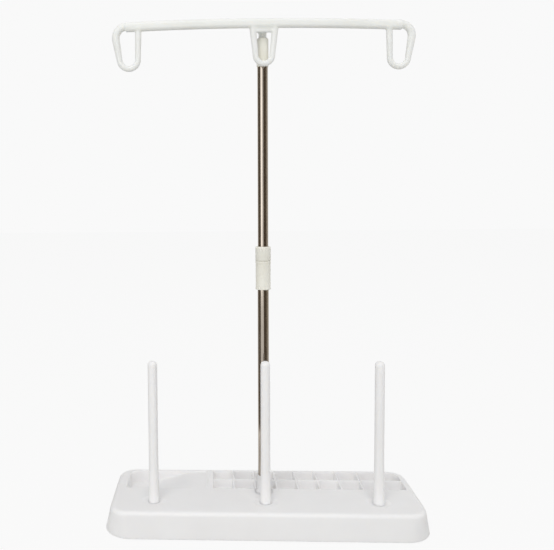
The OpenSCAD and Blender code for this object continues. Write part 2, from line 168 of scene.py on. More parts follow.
def footRubber(name, finish):
    # Nitrile rubber moulded in a blasted tool: matt dark grey with a fine grain and dusty patches
    material, tree = newMaterial(name)
    place = addNode(tree, "ShaderNodeTexCoord").outputs["Object"]
    tint = mottled(tree, place, finish["dust"], linear(finish["shade"]), linear(finish["colour"]))
    grain = addNode(tree, "ShaderNodeTexNoise", {"Scale": 1000 / finish["grain"], "Detail": 2.0},
                    {"Vector": place})
    relief = addNode(tree, "ShaderNodeBump",
                     {"Strength": finish["relief"], "Distance": finish["height"] / 1000},
                     {"Height": grain.outputs["Fac"]})
    shader = addNode(tree, "ShaderNodeBsdfPrincipled", {"Roughness": finish["rough"], "IOR": finish["ior"]},
                     {"Base Color": tint, "Normal": relief.outputs["Normal"]})
    addNode(tree, "ShaderNodeOutputMaterial", {}, {"Surface": shader.outputs[0]})
    return material


# Sizes of flow, patch, grain, stain and dust, the height of the relief, and the spacing and run
# of the steel's lines are millimetres. Of a plastic, "through" is the share of the light that
# enters and "glow" how far it spreads in there.
plastic = {"specular": 0.35, "glowTint": (1.0, 0.97, 0.92)}
styrene = {"colour": "#f8f7f7", "shade": "#f4f3f3", "flow": 45.0, "rough": (0.47, 0.53), "patch": 14.0,
           "grain": 2.4, "relief": 0.12, "height": 0.03, "ior": 1.55, "through": 0.5, "glow": 3.0}
acetal = {"colour": "#f3f1e6", "shade": "#efece0", "flow": 20.0, "rough": (0.42, 0.48), "patch": 9.0,
          "grain": 1.6, "relief": 0.10, "height": 0.02, "ior": 1.48, "through": 0.4, "glow": 3.0}
nylon = {"colour": "#f0f1ee", "shade": "#ebece8", "flow": 30.0, "rough": (0.45, 0.51), "patch": 10.0,
         "grain": 1.8, "relief": 0.12, "height": 0.03, "ior": 1.53, "through": 0.9, "glow": 7.0}
plate = {"colour": "#f2f1f0", "shade": "#ecebea", "flow": 45.0, "rough": (0.52, 0.58), "patch": 12.0,
         "grain": 0.7, "relief": 0.5, "height": 0.04, "ior": 1.55, "through": 0.0, "glow": 1.0}
tube = {"colour": "#b8aea2", "shade": "#afa59a", "stain": 26.0, "line": 0.5, "run": 25.0, "relief": 0.25,
        "height": 0.01, "rough": (0.09, 0.15), "patch": 7.0}
zinc = {"colour": "#bcbdb6", "shade": "#a9aca6", "stain": 26.0, "line": 0.3, "run": 25.0, "relief": 0.4,
        "height": 0.01, "rough": (0.24, 0.30), "patch": 1.5}
nitrile = {"colour": "#48484a", "shade": "#343436", "dust": 4.0, "grain": 0.4, "relief": 0.4,
           "height": 0.05, "rough": 0.82, "ior": 1.52}
whiteStyrene = mouldedPlastic("white_polystyrene_moulded", styrene)
warmAcetal = mouldedPlastic("acetal_moulded", acetal)
armNylon = mouldedPlastic("polyamide_moulded", nylon)
grainedStyrene = mouldedPlastic("white_polystyrene_grained", plate)
tubeSteel = linedSteel("stainless_steel_tube_polished", tube)
screwSteel = linedSteel("steel_screw_zinc_plated", zinc)
rubber = footRubber("nitrile_rubber_moulded", nitrile)

# Material of the CAD nodes by the start of their name. The rest, such as nut and cap, are acetal.
finishes = {"foot": rubber, "base_cover": grainedStyrene, "base_shell": whiteStyrene,
            "spool_pin": whiteStyrene, "cover_screws": screwSteel, "pin_screws": screwSteel,
            "pole_screw": screwSteel, "lower_tube": tubeSteel, "upper_tube": tubeSteel,
            "guide_arm": armNylon}
for name, obj in nodes.items():
    kinds = [finish for start, finish in finishes.items() if name.startswith(start)]
    obj.data.materials.clear()
    obj.data.materials.append(kinds[0] if kinds else warmAcetal)
print("materials ready")


# Meshes: a patch is a pair of points in millimetres and faces

weld = {"merge": 2e-6, "shortest": 1e-7}  # metres
sides = {"dish": 64, "boss": 64, "pin": 48, "pole": 96}  # of the turned shapes


def makePiece(name, body, patches, material, stands, sharp=35):
    # Joins the patches along their shared edges into one closed mesh with outward faces, which
    # rides on a body and stands for CAD nodes
    points = np.concatenate([p for p, f in patches]) / 1000
    faces = []
    start = 0
    for p, f in patches:
        faces += [tuple(int(i) + start for i in face) for face in f]
        start += len(p)
    mesh = bpy.data.meshes.new(name)
    mesh.from_pydata(points.tolist(), [], faces)
    work = bmesh.new()
    work.from_mesh(mesh)
    bmesh.ops.remove_doubles(work, verts=work.verts, dist=weld["merge"])
    bmesh.ops.dissolve_degenerate(work, edges=work.edges, dist=weld["shortest"])
    bmesh.ops.recalc_face_normals(work, faces=work.faces)
    opened = sum(1 for e in work.edges if len(e.link_faces) != 2)
    work.to_mesh(mesh)
    work.free()
    mesh.shade_smooth()
    mesh.set_sharp_from_angle(angle=math.radians(sharp))
    mesh.materials.append(material)
    obj = bpy.data.objects.new(name, mesh)
    scene.collection.objects.link(obj)
    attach(obj, body)
    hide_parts(*stands)
    print(name, len(mesh.vertices), "vertices", len(mesh.polygons), "faces, open edges:", opened)


def loft(rings, closeLast=False):
    # Quads between neighbouring rings of equal count. The last ring can be closed by rungs across
    # it, from each point to the one that mirrors it in the ring's order.
    levels, count = rings.shape[:2]
    i = np.arange(levels - 1)[:, None] * count
    j = np.arange(count)[None, :]
    k = (j + 1) % count
    faces = np.stack([i + j, i + k, i + count + k, i + count + j], axis=-1).reshape(-1, 4)
    if closeLast:
        step = np.arange(count // 2 - 1)
        rungs = np.stack([step, step + 1, count - 2 - step, count - 1 - step], axis=-1)
        faces = np.concatenate([faces, rungs + (levels - 1) * count])
    return rings.reshape(-1, 3), faces


def roundLoop(centre, half, radii, cornerSteps, sideSteps):
    # Rectangle with round corners, anticlockwise from the left end of the front side: a corner is
    # its centre plus radius times (cos a, sin a) over a quarter turn, a long side is split evenly.
    quarter = np.linspace(0, math.pi / 2, cornerSteps + 1)
    signs = ((-1, -1, math.pi), (1, -1, 1.5 * math.pi), (1, 1, 0), (-1, 1, 0.5 * math.pi))
    corners = []
    for (sx, sy, a), r in zip(signs, radii):
        x = sx * (half[0] - r) + r * np.cos(a + quarter)
        y = sy * (half[1] - r) + r * np.sin(a + quarter)
        corners.append(np.stack([x, y], 1))
    share = np.linspace(0, 1, sideSteps + 1)[1:-1, None]
    front = corners[0][-1] + (corners[1][0] - corners[0][-1]) * share
    rear = corners[2][-1] + (corners[3][0] - corners[2][-1]) * share
    return np.concatenate([corners[0], front, corners[1], corners[2], rear, corners[3]]) + np.array(centre)


def circleLoop(centre, radius, count):
    # Points at centre + radius * (cos a, sin a) over a full turn
    a = np.linspace(0, 2 * math.pi, count, endpoint=False)
    return np.stack([centre[0] + radius * np.cos(a), centre[1] + radius * np.sin(a)], 1)


def lifted(loop, z):
    # A flat loop's points at height z, which is one number or one for each point
    return np.column_stack([loop, np.broadcast_to(z, len(loop))])


def arc(start, end, steps):
    # Even steps between two angles in degrees, as radians
    return np.radians(np.linspace(start, end, steps + 1))


def revolve(profile, centre, count, closedProfile=False):
    # A profile of (radius r, height z) turned about the upright axis through centre: at angle a
    # each of its points is (centre x + r cos a, centre y + r sin a, z).
    profile = np.array(profile, float)
    if closedProfile:
        profile = np.vstack([profile, profile[:1]])
    a = np.linspace(0, 2 * math.pi, count, endpoint=False)
    rings = np.stack([centre[0] + profile[:, :1] * np.cos(a), centre[1] + profile[:, :1] * np.sin(a),
                      np.repeat(profile[:, 1:], count, axis=1)], axis=-1)
    return loft(rings)


# Base moulding

base = {"width": 316.0, "depth": 104.0, "height": 27.5, "rimGap": 1.4, "cornerFoot": 27.0,
        "cornerTop": 18.5, "endLean": 13.5, "wallLean": 2.0, "edge": 3.9, "shell": 2.2, "rimRound": 0.7,
        "coverUnderside": 1.8}
cells = {"columns": 9, "rows": 2, "size": 20.4, "rib": 1.6, "depth": 11.0, "side": 12.7, "back": 6.2,
         "lip": 0.5, "fillet": 1.4, "corner": 1.7, "draft": 1.5, "roundCorner": 11.5}
tray = {"side": 17.0, "deep": 14.0, "shallow": 1.5, "deepLength": 20.0, "rampLength": 46.0, "easing": 6.0,
        "land": 6.0, "lip": 0.9, "fillet": 2.2, "corner": 3.0, "draft": 3.0, "roundCorner": 12.5}
pins = {"pitch": 110.0, "front": 26.6, "height": 140.0, "width": 9.2, "foot": 10.4, "taper": 46.0,
        "footRound": 0.9, "tipFlat": 0.6, "dishWidth": 23.0, "dishDepth": 0.9, "dishRim": 0.6,
        "dishSlope": 3.4, "dishFloor": 5.4, "tenonWidth": 6.6, "tenonLength": 13.0, "tenonGap": 0.05}
pole = {"front": 50.0, "lowerWidth": 11.2, "wall": 0.35, "fit": 0.05, "seat": 10.0, "lowerTop": 262.0,
        "upperTop": 453.5, "overlap": 40.0, "bevel": 0.12}
boss = {"height": 17.5, "clear": 0.02, "wall": 0.75, "lean": 0.2, "flare": 2.6, "mouth": 0.35,
        "rimDepth": 0.5, "rimFoot": 1.1, "shoulder": 2.8, "postWidth": 13.9, "postFoot": 15.0}

cellPitch = cells["size"] + cells["rib"]
cellsRight = base["width"] / 2 - cells["side"]
cellsRear = base["depth"] / 2 - cells["back"]
cellsLeft = cellsRight - cells["columns"] * cellPitch + cells["rib"]
cellsFront = cellsRear - cells["rows"] * cellPitch + cells["rib"]
trayLeft = -base["width"] / 2 + tray["side"]
trayRight = cellsLeft - tray["land"]
pinY = -base["depth"] / 2 + pins["front"]
poleY = -base["depth"] / 2 + pole["front"]
flatRing = 0.25  # a strip of the flat top round every mouth, so that the rounds shade evenly


def outerLevels():
    # From the flat top outwards: the rounded edge, the leaning walls, the rim and the inner wall.
    # Half width and half depth follow each wall's own lean, and a point between two walls, on a
    # corner, takes its height from both in proportion to the squares of its normal's parts.
    b = base
    leans = np.radians([b["endLean"], b["wallLean"]])
    rise = b["height"] - b["edge"] - b["rimGap"]
    full = np.array([b["width"], b["depth"]]) / 2
    flat = full - rise * np.tan(leans) - b["edge"] / np.cos(leans)
    flatCorner = b["cornerTop"] - b["edge"]
    steps = {"cornerSteps": 20, "sideSteps": 48}
    rings = []
    for inset in (flatRing, 0):
        loop = roundLoop((0, 0), flat - inset, [flatCorner - inset] * 4, **steps)
        rings.append(lifted(loop, b["height"]))
    loop = roundLoop((0, 0), flat, [flatCorner] * 4, **steps)
    ahead = np.roll(loop, -1, axis=0) - np.roll(loop, 1, axis=0)
    share = ahead[:, 1] ** 2 / (ahead ** 2).sum(axis=1)
    for t in np.linspace(0, 1, 9)[1:]:
        turn = (1 - t) * math.pi / 2 + t * leans
        grown = b["edge"] * np.cos(turn)
        sunk = b["edge"] * (1 - np.sin(turn))
        corner = flatCorner + grown[1]
        rings.append(lifted(roundLoop((0, 0), flat + grown, [corner] * 4, **steps),
                            b["height"] - share * sunk[0] - (1 - share) * sunk[1]))
    top = rings[-1]
    foot = lifted(roundLoop((0, 0), full, [b["cornerFoot"]] * 4, **steps), b["rimGap"])
    rim = b["rimRound"]
    for t in np.linspace(0, 1, 9)[1:]:
        lowest = rim / (foot[:, 2:] - top[:, 2:])
        rings.append(top + (foot - top) * t * (1 + lowest))
    for a in arc(0, 90, 4)[1:]:
        inset = rim * (1 - math.cos(a))
        loop = roundLoop((0, 0), full - inset, [b["cornerFoot"] - inset] * 4, **steps)
        rings.append(lifted(loop, b["rimGap"] + rim * (1 - math.sin(a))))
    for inset, z in ((b["shell"], b["rimGap"]), (b["shell"], b["coverUnderside"])):
        loop = roundLoop((0, 0), full - inset, [b["cornerFoot"] - inset] * 4, **steps)
        rings.append(lifted(loop, z))
    return np.array(rings)


def pocket(centre, half, radii, p, depthAt, sideSteps):
    # Lip, draft wall and floor fillet of one pocket: the lip is a quarter circle from the flat top
    # into the wall, the fillet a quarter circle from the wall into the floor, and both shrink
    # where the floor comes close to the top.
    rings = []
    cornerSteps = 6
    sharpest = 0.3
    outline = roundLoop(centre, np.array(half), radii, cornerSteps, sideSteps)
    depth = depthAt(outline[:, 0])
    lip = np.minimum(p["lip"], 0.5 * depth)
    fillet = np.minimum(p["fillet"], 0.4 * depth)
    wall = (depth - lip - fillet) * math.tan(math.radians(p["draft"]))
    top = base["height"]
    levels = [(-p["lip"] - flatRing, 0 * depth)]
    levels += [(p["lip"] * (math.sin(a) - 1), lip * (1 - math.cos(a))) for a in arc(0, 90, 4)]
    levels += [(t * wall.mean(), lip + t * (depth - lip - fillet)) for t in (0.33, 0.66, 1)]
    levels += [(wall.mean() + p["fillet"] * (1 - math.cos(a)), depth - fillet + fillet * math.sin(a))
               for a in arc(0, 90, 5)[1:]]
    for inset, down in levels:
        shrunk = [max(r - inset, sharpest) for r in radii]
        loop = roundLoop(centre, np.array(half) - inset, shrunk, cornerSteps, sideSteps)
        rings.append(lifted(loop, top - down))
    return np.array(rings)


def cellPocket(i, j):
    # A square cell of even depth; the one in the base's rear right corner is rounded with it
    half = cells["size"] / 2
    centre = (cellsLeft + half + i * cellPitch, cellsFront + half + j * cellPitch)
    last = i == cells["columns"] - 1 and j == cells["rows"] - 1
    radii = [cells["corner"]] * 4
    if last:
        radii[2] = cells["roundCorner"]
    return pocket(centre, (half, half), radii, cells, lambda x: np.full(len(x), cells["depth"]), 4)


def trayDepth(x):
    # Deep, then rising, then shallow: straight stretches averaged over the length of an easing,
    # which rounds both bends
    ramp = tray["deepLength"] + tray["rampLength"]
    bends = trayLeft + np.array([0, tray["deepLength"], ramp])
    depths = [tray["deep"], tray["deep"], tray["shallow"]]
    shifts = np.linspace(-tray["easing"] / 2, tray["easing"] / 2, 9)
    return np.mean([np.interp(x + s, bends, depths) for s in shifts], axis=0)


def trayPocket():
    # The tray beside the cells, as wide as both their rows, rounded with the base's rear left corner
    centre = ((trayLeft + trayRight) / 2, (cellsFront + cellsRear) / 2)
    half = ((trayRight - trayLeft) / 2, (cellsRear - cellsFront) / 2)
    radii = [tray["corner"], tray["corner"], tray["corner"], tray["roundCorner"]]
    return pocket(centre, half, radii, tray, trayDepth, 60)


def dishRings(x):
    # Shallow dish round a pin: from its rim inwards the floor sinks by a half cosine
    rim = pins["dishWidth"] / 2 + pins["dishRim"]
    share = np.linspace(0, 1, 9)
    sunk = pins["dishDepth"] * (0.5 - 0.5 * np.cos(math.pi * share))
    radii = np.concatenate([[rim + flatRing], rim - pins["dishSlope"] * share, [pins["dishFloor"]]])
    down = np.concatenate([[0], sunk, [pins["dishDepth"]]])
    loops = [circleLoop((x, pinY), r, sides["dish"]) for r in radii]
    return np.array([lifted(loop, base["height"] - d) for loop, d in zip(loops, down)])


def poleBoss():
    # The pole's boss, turned with the post below it: a round post whose back bulges into the cell
    # behind the pole, a rim, a concave flare out of the top face, a slightly leaning wall and a
    # rounded mouth. The profile is closed along the bore.
    bore = pole["lowerWidth"] / 2 + pole["fit"] + boss["clear"]
    wall = bore + boss["wall"]
    foot = wall + boss["lean"]
    flare = boss["flare"]
    rim = foot + flare
    tall = boss["height"]
    mouth = boss["mouth"]
    post = boss["postWidth"] / 2
    profile = [(bore, -boss["postFoot"]), (post, -boss["postFoot"]), (post, -boss["shoulder"])]
    profile += [(rim - boss["rimDepth"], -boss["rimFoot"]), (rim, -boss["rimDepth"])]
    profile += [(foot + flare * (1 - math.sin(a)), flare * (1 - math.cos(a))) for a in arc(0, 90, 8)]
    profile += [(wall + boss["lean"] / 2, tall * 0.6), (wall, tall - mouth)]
    profile += [(wall - mouth + mouth * math.cos(a), tall - mouth + mouth * math.sin(a))
                for a in arc(0, 90, 4)[1:]]
    profile += [(bore, tall)]
    raised = [(r, base["height"] + z) for r, z in profile]
    return revolve(raised, (0, poleY), sides["boss"], closedProfile=True)


def topPlate(outer, holes):
    # The flat top between its outline and the mouths of all pockets
    loops = [[Vector(p) for p in ring] for ring in [outer] + holes]
    return np.concatenate([outer] + holes), tessellate_polygon(loops)


def makeBase():
    # Outside, pockets and dishes share their top rings with the flat plate, and the boss stands in it
    outer = outerLevels()
    cellParts = [cellPocket(i, j) for i in range(cells["columns"]) for j in range(cells["rows"])]
    pocketParts = cellParts + [trayPocket()]
    roundParts = [dishRings(s * pins["pitch"]) for s in (-1, 0, 1)]
    patches = [loft(outer, closeLast=True)]
    patches += [loft(p, closeLast=True) for p in pocketParts + roundParts]
    patches.append(topPlate(outer[0], [p[0] for p in pocketParts + roundParts]))
    patches.append(poleBoss())
    makePiece("base_moulding", "base", patches, whiteStyrene, ["base_shell"], sharp=50)


makeBase()

# Spool pins, turned by their profile


def makePin(name, x):
    # Tenon, a quarter round out of the dish, a taper, the plain shank and a round tip with a small
    # flat in its middle
    r = pins["width"] / 2
    foot = pins["foot"] / 2
    toe = pins["footRound"]
    flat = pins["tipFlat"]
    tall = pins["height"] + pins["dishDepth"]
    tip = r - flat
    tenon = pins["tenonWidth"] / 2
    tenonFoot = -pins["tenonLength"] + pins["tenonGap"]
    profile = [(0, tenonFoot), (tenon, tenonFoot), (tenon, 0)]
    profile += [(foot + toe * (1 - math.sin(a)), toe * (1 - math.cos(a))) for a in arc(0, 90, 5)]
    profile += [(foot + (r - foot) * t, toe + (pins["taper"] - toe) * t) for t in (0.5, 1)]
    profile += [(r, tall - tip)]
    profile += [(flat + tip * math.cos(a), tall - tip + tip * math.sin(a)) for a in arc(0, 90, 12)[1:]]
    profile += [(0, tall)]
    turned = revolve(profile, (x, pinY), sides["pin"])
    turned[0][:, 2] += base["height"] - pins["dishDepth"]
    makePiece(name + "_turned", "base", [turned], whiteStyrene, [name])


for name, side in (("spool_pin_left", -1), ("spool_pin_middle", 0), ("spool_pin_right", 1)):
    makePin(name, side * pins["pitch"])


# Pole: two tubes, the collar's sleeve and nut, and the cap

collar = {"width": 15.2, "sleeveLength": 28.5, "sleeveAbove": 1.0, "bandLength": 1.9, "stepLength": 0.8,
          "waist": 0.25, "shoulder": 0.06, "footRound": 0.6, "edgeRound": 0.35, "bevel": 0.2,
          "nose": 13.0, "noseHeight": 7.5, "clear": 0.1}
nut = {"length": 14.0, "gap": 0.4, "topRound": 0.7, "topLength": 2.4, "stepLength": 1.0, "step": 0.1,
       "taper": 0.15, "mouth": 0.2, "roof": 1.95}
cap = {"length": 27.8, "width": 11.4, "round": 1.8, "footRound": 0.3, "spigot": 18.0}

upperWidth = pole["lowerWidth"] - 2 * pole["wall"] - 2 * pole["fit"]
lowBore = pole["lowerWidth"] / 2 + pole["fit"]
highBore = upperWidth / 2 + pole["fit"] + collar["clear"]
sleeveBottom = pole["lowerTop"] - collar["sleeveLength"] + collar["sleeveAbove"]
sleeveTop = sleeveBottom + collar["sleeveLength"]


def makeTube(name, body, width, z0, z1):
    # A wall between two circles, with bevelled ends
    r = width / 2
    inner = r - pole["wall"]
    c = pole["bevel"]
    profile = [(inner, z0 + c), (inner, z1 - c), (inner + c, z1), (r - c, z1)]
    profile += [(r, z1 - c), (r, z0 + c), (r - c, z0), (inner + c, z0)]
    turned = revolve(profile, (0, poleY), sides["pole"], closedProfile=True)
    makePiece(name + "_drawn", body, [turned], tubeSteel, [name], sharp=30)


def roundedStep(r, z, size, upper):
    # A convex quarter circle at an end of a turned part, listed upwards
    if upper:
        return [(r - size + size * math.cos(a), z - size + size * math.sin(a)) for a in arc(0, 90, 4)]
    return [(r - size + size * math.sin(a), z + size - size * math.cos(a)) for a in arc(0, 90, 4)]


def makeSleeve():
    # A band at each end and a slight waist between them, with the nose for the nut on top
    r = collar["width"] / 2
    waist = r - collar["waist"]
    band = collar["bandLength"]
    step = collar["stepLength"]
    nose = collar["nose"] / 2
    noseTop = sleeveTop + nut["gap"] + collar["noseHeight"]
    slope = [(r, band), (waist + collar["shoulder"], band + step / 2), (waist, band + step)]
    profile = [(lowBore, sleeveBottom + collar["bevel"])]
    profile += roundedStep(r, sleeveBottom, collar["footRound"], False)
    profile += [(x, sleeveBottom + z) for x, z in slope]
    profile += [(x, sleeveTop - z) for x, z in reversed(slope)]
    profile += roundedStep(r, sleeveTop, collar["edgeRound"], True)
    profile += [(nose, sleeveTop), (nose, noseTop), (highBore, noseTop)]
    profile += [(highBore, pole["lowerTop"]), (lowBore, pole["lowerTop"])]
    turned = revolve(profile, (0, poleY), sides["pole"], closedProfile=True)
    makePiece("collar_sleeve_turned", "base", [turned], warmAcetal, ["collar_sleeve"])


def makeNut():
    # A plain nut over the nose, with a slightly smaller rounded top that closes on the upper tube
    r = collar["width"] / 2
    bottom = sleeveTop + nut["gap"]
    top = bottom + nut["length"]
    nose = collar["nose"] / 2 + pole["fit"]
    profile = [(nose, bottom)] + roundedStep(r, bottom, collar["edgeRound"], False)
    profile += [(r, top - nut["topLength"]), (r - nut["step"], top - nut["topLength"] + nut["stepLength"])]
    profile += roundedStep(r - nut["taper"], top, nut["topRound"], True)
    profile += [(highBore + nut["mouth"], top), (highBore, top - nut["mouth"])]
    profile += [(highBore, top - nut["roof"]), (nose, top - nut["roof"])]
    turned = revolve(profile, (0, poleY), sides["pole"], closedProfile=True)
    makePiece("lock_nut_turned", "nut", [turned], warmAcetal, ["lock_nut"])


def makeCap():
    # A spigot in the upper tube, the cap's round body, and the bore for the arm's stem
    z = pole["upperTop"]
    top = z + cap["length"]
    inner = upperWidth / 2 - pole["wall"] - pole["fit"]
    stem = arm["stem"] / 2 + pole["fit"]
    profile = [(0, z - cap["spigot"]), (inner, z - cap["spigot"]), (inner, z)]
    profile += roundedStep(cap["width"] / 2, z, cap["footRound"], False)
    profile += roundedStep(cap["width"] / 2, top, cap["round"], True)
    profile += [(stem, top), (stem, top - arm["stemLength"]), (0, top - arm["stemLength"])]
    turned = revolve(profile, (0, poleY), sides["pole"])
    makePiece("pole_cap_turned", "upper_pole", [turned], warmAcetal, ["pole_cap"])


# Guide arm: a distance field of rounded bars and wires that melt into one another

arm = {"rise": 11.9, "half": 131.4, "sag": 2.8, "turn": 3.0, "barHeight": 8.8, "barThick": 7.6,
       "barRound": 2.9, "eyeThin": 5.5, "eyeThick": 7.4, "legThick": 6.2, "drop": 42.2,
       "bottomRadius": 8.8, "bendRadius": 10.9, "shift": 1.3, "middleLeg": 10.9, "middleRadius": 8.0,
       "middleDrop": 41.0, "webHeight": 4.2, "webThick": 4.6, "webLap": 2.0, "stem": 7.6,
       "stemLength": 16.0, "gap": 1.2, "earWidth": 11.0, "earDrop": 6.5, "edgeRound": 0.8,
       "lap": 1.0, "melt": 1.6, "spacing": 0.62}
armFront = cap["width"] / 2 + arm["gap"] + arm["barThick"] / 2
armZ = pole["upperTop"] + cap["length"] + arm["rise"]


def melted(a, b, reach):
    # Smaller of two distances, less (reach - |a - b|)^2 / (4 reach) where they differ by less
    near = np.maximum(reach - np.abs(a - b), 0) / reach
    return np.minimum(a, b) - near * near * reach / 4


def roundBox(u, v, halfU, halfV, r):
    # Distance to a rectangle with round corners: to the smaller one through the centres of its
    # corners, less their radius
    a = np.abs(u) - halfU + r
    b = np.abs(v) - halfV + r
    return np.hypot(np.maximum(a, 0), np.maximum(b, 0)) + np.minimum(np.maximum(a, b), 0) - r


def bendPath(centre, radius, angles, thick):
    # Points (x, z, wire radius) of an arc: centre + radius * (cos a, sin a) between two angles
    a = arc(angles[0], angles[1], 24)
    return np.stack([centre[0] + radius * np.cos(a), centre[1] + radius * np.sin(a), 0 * a + thick / 2], 1)


def wireDistance(points, path):
    # Distance to a chain of tapering round wires in the plane y = 0: for each the way to its
    # nearest point, at the share t of its length, less the wire's radius there
    best = np.full(len(points), 1e3)
    for (x0, z0, r0), (x1, z1, r1) in zip(path[:-1], path[1:]):
        dx, dz = x1 - x0, z1 - z0
        length = max(dx * dx + dz * dz, 1e-9)
        t = np.clip(((points[:, 0] - x0) * dx + (points[:, 2] - z0) * dz) / length, 0, 1)
        aside = points[:, 0] - x0 - t * dx
        above = points[:, 2] - z0 - t * dz
        away = np.sqrt(aside ** 2 + points[:, 1] ** 2 + above ** 2)
        best = np.minimum(best, away - r0 - t * (r1 - r0))
    return best


def eyePaths():
    # Outer eye: round the bend, down the tangent to the bottom circle, round it and up again to
    # the bar. Middle eye: half of it, from the bar down the tangent and round to the bottom.
    a = arm
    end = -a["sag"]
    top = np.array([a["half"], end + (a["barHeight"] - a["eyeThick"]) / 2 - a["bendRadius"]])
    bottom = np.array([a["half"] - a["shift"], end - a["drop"] + a["eyeThin"] / 2 + a["bottomRadius"]])
    up = top - bottom
    lean = math.asin((a["bendRadius"] - a["bottomRadius"]) / math.hypot(*up)) + math.atan2(up[0], up[1])
    start = np.array([a["half"] - a["bendRadius"], end])
    way = start - bottom
    innerLean = math.acos(a["bottomRadius"] / math.hypot(*way)) - math.atan2(way[1], -way[0])
    lowest = (-math.degrees(lean), -180 + math.degrees(innerLean))
    outer = np.concatenate([bendPath(top, a["bendRadius"], (100, -math.degrees(lean)), a["eyeThick"]),
                            bendPath(bottom, a["bottomRadius"], lowest, a["eyeThin"]),
                            [[start[0], start[1], a["legThick"] / 2]]])
    middle = (0, -a["middleDrop"] + a["eyeThin"] / 2 + a["middleRadius"])
    topZ = -a["barHeight"] / 2 + a["lap"]
    tilt = math.asin((a["middleLeg"] - a["middleRadius"]) / (topZ - middle[1]))
    half = np.concatenate([[[a["middleLeg"], topZ, a["legThick"] / 2]],
                           bendPath(middle, a["middleRadius"], (-math.degrees(tilt), -90), a["eyeThin"])])
    return outer, half


outerPath, middlePath = eyePaths()


def armDistance(points):
    # The arm is mirrored about its middle, so everything but the stem is worked out for x > 0. The
    # bar follows a circle that sags at its ends. Eyes are only worked out where they can reach.
    a = arm
    endZone, middleZone = 22, 26
    p = np.column_stack([np.abs(points[:, 0]), points[:, 1], points[:, 2]])
    archRadius = (a["half"] ** 2 + a["sag"] ** 2) / (2 * a["sag"])
    up = np.hypot(p[:, 0], p[:, 2] + archRadius) - archRadius
    field = roundBox(up, p[:, 1], a["barHeight"] / 2, a["barThick"] / 2, a["barRound"])
    field = np.maximum(field, p[:, 0] - a["half"] - a["lap"])
    atEnd = p[:, 0] > a["half"] - endZone
    field[atEnd] = melted(field[atEnd], wireDistance(p[atEnd], outerPath), a["melt"])
    atMiddle = p[:, 0] < middleZone
    q = p[atMiddle]
    webZ = q[:, 2] + a["barHeight"] / 2 + a["webHeight"] / 2 - a["webLap"]
    web = roundBox(webZ, q[:, 1], a["webHeight"] / 2 + a["webLap"], a["webThick"] / 2, a["edgeRound"])
    web = np.maximum(web, q[:, 0] - a["middleLeg"])
    eye = melted(web, wireDistance(q, middlePath), a["melt"])
    behind = q[:, 1] - armFront
    fromAxis = np.hypot(q[:, 0], behind)
    across = np.where(q[:, 1] < armFront, np.abs(q[:, 0]), fromAxis) - a["earWidth"] / 2
    earTop = a["barHeight"] / 2 - a["lap"]
    earMiddle = (earTop - a["earDrop"]) / 2
    inside = 4  # how far the ear's outline is followed inwards
    earHalf = (earTop + a["earDrop"]) / 2
    ear = roundBox(across + inside, q[:, 2] - earMiddle, inside, earHalf, a["edgeRound"])
    ear = np.maximum(ear, -q[:, 1])
    stemLow = -a["rise"] - a["stemLength"]
    stem = np.maximum(fromAxis - a["stem"] / 2, np.abs(q[:, 2] - stemLow / 2) + stemLow / 2)
    ear = melted(ear, stem, a["melt"])
    field[atMiddle] = melted(melted(field[atMiddle], eye, a["melt"]), ear, a["melt"])
    return field


def netSurface(distance, low, high, spacing):
    # Surface of a distance field: one point in each grid cell that the surface passes, at the mean
    # of the crossings on the cell's edges, joined by a quad across every edge that it crosses, then
    # moved along the field's slope until the distance is zero.
    lower, upper = slice(None, -1), slice(1, None)
    around = ((lower, lower), (upper, lower), (upper, upper), (lower, upper))
    axes = [np.arange(start, end + spacing, spacing) for start, end in zip(low, high)]
    shape = [len(v) for v in axes]
    grid = np.stack(np.meshgrid(*axes, indexing="ij"), axis=-1).reshape(-1, 3)
    f = distance(grid).reshape(shape)
    cellShape = tuple(n - 1 for n in shape)
    total = np.zeros(cellShape + (3,))
    count = np.zeros(cellShape)
    crossings = []
    for axis in range(3):
        first = np.moveaxis(f, axis, 0)[:-1]
        second = np.moveaxis(f, axis, 0)[1:]
        crossed = (first < 0) != (second < 0)
        share = np.where(crossed, first / np.where(crossed, first - second, 1), 0)
        place = np.zeros(crossed.shape + (3,))
        index = np.indices(crossed.shape)
        order = [axis] + [k for k in range(3) if k != axis]
        for k, source in zip(order, index):
            place[..., k] = source
        place[..., axis] += share
        place *= crossed[..., None]
        crossings.append((axis, crossed, first < 0))
        movedTotal = np.moveaxis(total, axis, 0)
        movedCount = np.moveaxis(count, axis, 0)
        for a in (lower, upper):
            for b in (lower, upper):
                movedTotal += place[:, a, b]
                movedCount += crossed[:, a, b]
    used = count > 0
    number = np.full(cellShape, -1)
    number[used] = np.arange(used.sum())
    points = total[used] / count[used][:, None] * spacing + np.array(low)
    faces = []
    for axis, crossed, inside in crossings:
        ids = np.moveaxis(number, axis, 0)
        inner = crossed[:, 1:-1, 1:-1]
        flip = inside[:, 1:-1, 1:-1][inner]
        quads = np.stack([ids[:, a, b][inner] for a, b in around], axis=-1)
        quads[flip] = quads[flip][:, ::-1]
        faces.append(quads)
    h = spacing * 0.05
    for pull in range(3):
        value = distance(points)
        slopes = [(distance(points + h * e) - distance(points - h * e)) / (2 * h) for e in np.eye(3)]
        slope = np.stack(slopes, axis=-1)
        step = value / np.maximum((slope ** 2).sum(axis=1), 0.25)
        points = points - np.clip(step, -spacing, spacing)[:, None] * slope
    return points, np.concatenate(faces)


